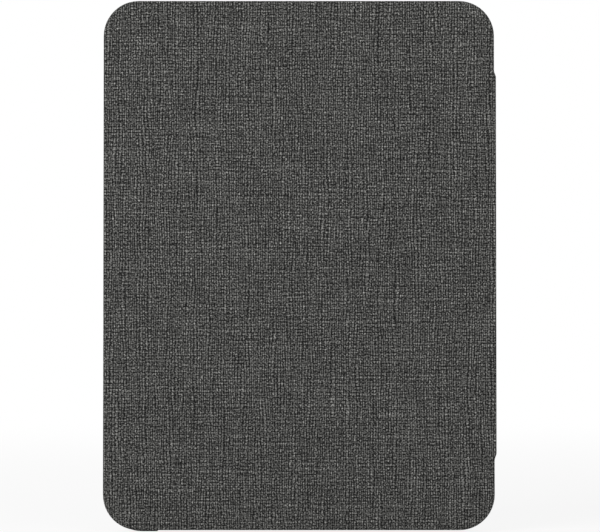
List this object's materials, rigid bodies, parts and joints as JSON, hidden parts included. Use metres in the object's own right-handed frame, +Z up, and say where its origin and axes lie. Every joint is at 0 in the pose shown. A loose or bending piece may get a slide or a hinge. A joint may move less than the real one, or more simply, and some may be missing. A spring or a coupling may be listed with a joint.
{
  "type": "tablet keyboard case",
  "caption": "Closed folio case for a tablet: fabric-covered keyboard cover with trackpad, folding spine with magnetic connector, soft tray for the tablet and a hinged kickstand.",
  "frame": {"origin": "middle of the bottom of the closed case, as it stands on one short end", "axes": "+Z up along the long side, +X towards the spine, +Y from the cover's outer face to the back"},
  "size_m": [0.1894, 0.018, 0.2563],
  "materials": {
    "linen_fabric": "dark grey melange linen weave",
    "soft_lining": "brushed microfibre",
    "stiff_board": "moulded, matte",
    "soft_frame": "matte elastomer",
    "hard_back": "fine texture",
    "deck": "fine texture",
    "touch_surface": "satin",
    "indicator": "frosted",
    "circuit_board": "solder mask",
    "membrane": "polyester film",
    "dome_rubber": "silicone",
    "sheet_steel": "rolled",
    "magnet": "nickel plate",
    "contact": "plated",
    "stand_metal": "dark anodised",
    "key_plastic": "fine texture with pale legends"
  },
  "bodies": {
    "case": {"tray_frame": "soft_frame", "tray_back": "hard_back", "tray_lining": "soft_lining", "tray_magnets": "magnet", "dock_magnets": "magnet", "back_panel": "stiff_board", "back_fabric": "linen_fabric", "camera_ring": "hard_back", "hinge_brackets": "sheet_steel", "hinge_pins": "sheet_steel"},
    "kickstand": {"kickstand_plate": "stand_metal", "kickstand_fabric": "linen_fabric", "kickstand_lining": "soft_lining"},
    "connector": {"connector_core": "stiff_board", "connector_fabric": "linen_fabric", "connector_magnets": "magnet", "contact_blades": "contact"},
    "spine": {"spine_core": "stiff_board", "spine_fabric": "linen_fabric", "spine_ribbon": "membrane"},
    "keyboard": {"cover_fabric": "linen_fabric", "cover_board": "stiff_board", "key_plate": "sheet_steel", "key_circuit": "membrane", "rubber_domes": "dome_rubber", "deck_frame": "deck", "deck_rim": "soft_frame", "indicator_light": "indicator", "controller_board": "circuit_board", "cover_magnets": "magnet", "trackpad_switch": "sheet_steel"},
    "trackpad": {"trackpad_plate": "touch_surface", "trackpad_board": "circuit_board"},
    "function_keys_press": {"function_keys": "key_plastic"},
    "number_keys_press": {"number_keys": "key_plastic"},
    "top_letter_keys_press": {"top_letter_keys": "key_plastic"},
    "home_letter_keys_press": {"home_letter_keys": "key_plastic"},
    "bottom_letter_keys_press": {"bottom_letter_keys": "key_plastic"},
    "backspace_key_press": {"backspace_key": "key_plastic"},
    "tab_key_press": {"tab_key": "key_plastic"},
    "caps_key_press": {"caps_key": "key_plastic"},
    "return_key_press": {"return_key": "key_plastic"},
    "left_shift_key_press": {"left_shift_key": "key_plastic"},
    "right_shift_key_press": {"right_shift_key": "key_plastic"},
    "fn_key_press": {"fn_key": "key_plastic"},
    "ctrl_key_press": {"ctrl_key": "key_plastic"},
    "left_alt_key_press": {"left_alt_key": "key_plastic"},
    "left_system_key_press": {"left_system_key": "key_plastic"},
    "space_bar_press": {"space_bar": "key_plastic"},
    "right_system_key_press": {"right_system_key": "key_plastic"},
    "right_alt_key_press": {"right_alt_key": "key_plastic"},
    "left_arrow_key_press": {"left_arrow_key": "key_plastic"},
    "up_arrow_key_press": {"up_arrow_key": "key_plastic"},
    "down_arrow_key_press": {"down_arrow_key": "key_plastic"},
    "right_arrow_key_press": {"right_arrow_key": "key_plastic"}
  },
  "joints": [
    {"name": "keyboard_detach", "type": "slide", "parent": "case", "child": "connector", "axis": [1, 0, 0], "range_m": [0, 0.2]},
    {"name": "spine_fold", "type": "hinge", "parent": "connector", "child": "spine", "pos_m": [0.09465, -0.0026, 0.1285], "axis": [0, 0, 1], "range_deg": [0, 90]},
    {"name": "cover_fold", "type": "hinge", "parent": "spine", "child": "keyboard", "pos_m": [0.0943, -0.0087, 0.1285], "axis": [0, 0, 1], "range_deg": [0, 95]},
    {"name": "kickstand_swing", "type": "hinge", "parent": "case", "child": "kickstand", "pos_m": [-0.002, 0.0078, 0.1285], "axis": [0, 0, 1], "range_deg": [0, 120]},
    {"name": "trackpad_click", "type": "slide", "parent": "keyboard", "child": "trackpad", "axis": [0, -1, 0], "range_m": [0, 0.00035], "stiffness_N_per_m": 2500, "springref_m": -0.0002},
    {"name": "travel_function_keys", "type": "slide", "parent": "keyboard", "child": "function_keys_press", "axis": [0, -1, 0], "range_m": [0, 0.001], "stiffness_N_per_m": 5600, "springref_m": -0.0003, "deforming": ["rubber_domes"]},
    {"name": "travel_number_keys", "type": "slide", "parent": "keyboard", "child": "number_keys_press", "axis": [0, -1, 0], "range_m": [0, 0.001], "stiffness_N_per_m": 5200, "springref_m": -0.0003, "deforming": ["rubber_domes"]},
    {"name": "travel_top_letter_keys", "type": "slide", "parent": "keyboard", "child": "top_letter_keys_press", "axis": [0, -1, 0], "range_m": [0, 0.001], "stiffness_N_per_m": 5200, "springref_m": -0.0003, "deforming": ["rubber_domes"]},
    {"name": "travel_home_letter_keys", "type": "slide", "parent": "keyboard", "child": "home_letter_keys_press", "axis": [0, -1, 0], "range_m": [0, 0.001], "stiffness_N_per_m": 4400, "springref_m": -0.0003, "deforming": ["rubber_domes"]},
    {"name": "travel_bottom_letter_keys", "type": "slide", "parent": "keyboard", "child": "bottom_letter_keys_press", "axis": [0, -1, 0], "range_m": [0, 0.001], "stiffness_N_per_m": 4000, "springref_m": -0.0003, "deforming": ["rubber_domes"]},
    {"name": "travel_backspace_key", "type": "slide", "parent": "keyboard", "child": "backspace_key_press", "axis": [0, -1, 0], "range_m": [0, 0.001], "stiffness_N_per_m": 400, "springref_m": -0.0003, "deforming": ["rubber_domes"]},
    {"name": "travel_tab_key", "type": "slide", "parent": "keyboard", "child": "tab_key_press", "axis": [0, -1, 0], "range_m": [0, 0.001], "stiffness_N_per_m": 400, "springref_m": -0.0003, "deforming": ["rubber_domes"]},
    {"name": "travel_caps_key", "type": "slide", "parent": "keyboard", "child": "caps_key_press", "axis": [0, -1, 0], "range_m": [0, 0.001], "stiffness_N_per_m": 400, "springref_m": -0.0003, "deforming": ["rubber_domes"]},
    {"name": "travel_return_key", "type": "slide", "parent": "keyboard", "child": "return_key_press", "axis": [0, -1, 0], "range_m": [0, 0.001], "stiffness_N_per_m": 400, "springref_m": -0.0003, "deforming": ["rubber_domes"]},
    {"name": "travel_left_shift_key", "type": "slide", "parent": "keyboard", "child": "left_shift_key_press", "axis": [0, -1, 0], "range_m": [0, 0.001], "stiffness_N_per_m": 400, "springref_m": -0.0003, "deforming": ["rubber_domes"]},
    {"name": "travel_right_shift_key", "type": "slide", "parent": "keyboard", "child": "right_shift_key_press", "axis": [0, -1, 0], "range_m": [0, 0.001], "stiffness_N_per_m": 400, "springref_m": -0.0003, "deforming": ["rubber_domes"]},
    {"name": "travel_fn_key", "type": "slide", "parent": "keyboard", "child": "fn_key_press", "axis": [0, -1, 0], "range_m": [0, 0.001], "stiffness_N_per_m": 400, "springref_m": -0.0003, "deforming": ["rubber_domes"]},
    {"name": "travel_ctrl_key", "type": "slide", "parent": "keyboard", "child": "ctrl_key_press", "axis": [0, -1, 0], "range_m": [0, 0.001], "stiffness_N_per_m": 400, "springref_m": -0.0003, "deforming": ["rubber_domes"]},
    {"name": "travel_left_alt_key", "type": "slide", "parent": "keyboard", "child": "left_alt_key_press", "axis": [0, -1, 0], "range_m": [0, 0.001], "stiffness_N_per_m": 400, "springref_m": -0.0003, "deforming": ["rubber_domes"]},
    {"name": "travel_left_system_key", "type": "slide", "parent": "keyboard", "child": "left_system_key_press", "axis": [0, -1, 0], "range_m": [0, 0.001], "stiffness_N_per_m": 400, "springref_m": -0.0003, "deforming": ["rubber_domes"]},
    {"name": "travel_space_bar", "type": "slide", "parent": "keyboard", "child": "space_bar_press", "axis": [0, -1, 0], "range_m": [0, 0.001], "stiffness_N_per_m": 400, "springref_m": -0.0003, "deforming": ["rubber_domes"]},
    {"name": "travel_right_system_key", "type": "slide", "parent": "keyboard", "child": "right_system_key_press", "axis": [0, -1, 0], "range_m": [0, 0.001], "stiffness_N_per_m": 400, "springref_m": -0.0003, "deforming": ["rubber_domes"]},
    {"name": "travel_right_alt_key", "type": "slide", "parent": "keyboard", "child": "right_alt_key_press", "axis": [0, -1, 0], "range_m": [0, 0.001], "stiffness_N_per_m": 400, "springref_m": -0.0003, "deforming": ["rubber_domes"]},
    {"name": "travel_left_arrow_key", "type": "slide", "parent": "keyboard", "child": "left_arrow_key_press", "axis": [0, -1, 0], "range_m": [0, 0.001], "stiffness_N_per_m": 400, "springref_m": -0.0003, "deforming": ["rubber_domes"]},
    {"name": "travel_up_arrow_key", "type": "slide", "parent": "keyboard", "child": "up_arrow_key_press", "axis": [0, -1, 0], "range_m": [0, 0.001], "stiffness_N_per_m": 400, "springref_m": -0.0003, "deforming": ["rubber_domes"]},
    {"name": "travel_down_arrow_key", "type": "slide", "parent": "keyboard", "child": "down_arrow_key_press", "axis": [0, -1, 0], "range_m": [0, 0.001], "stiffness_N_per_m": 400, "springref_m": -0.0003, "deforming": ["rubber_domes"]},
    {"name": "travel_right_arrow_key", "type": "slide", "parent": "keyboard", "child": "right_arrow_key_press", "axis": [0, -1, 0], "range_m": [0, 0.001], "stiffness_N_per_m": 400, "springref_m": -0.0003, "deforming": ["rubber_domes"]}
  ]
}
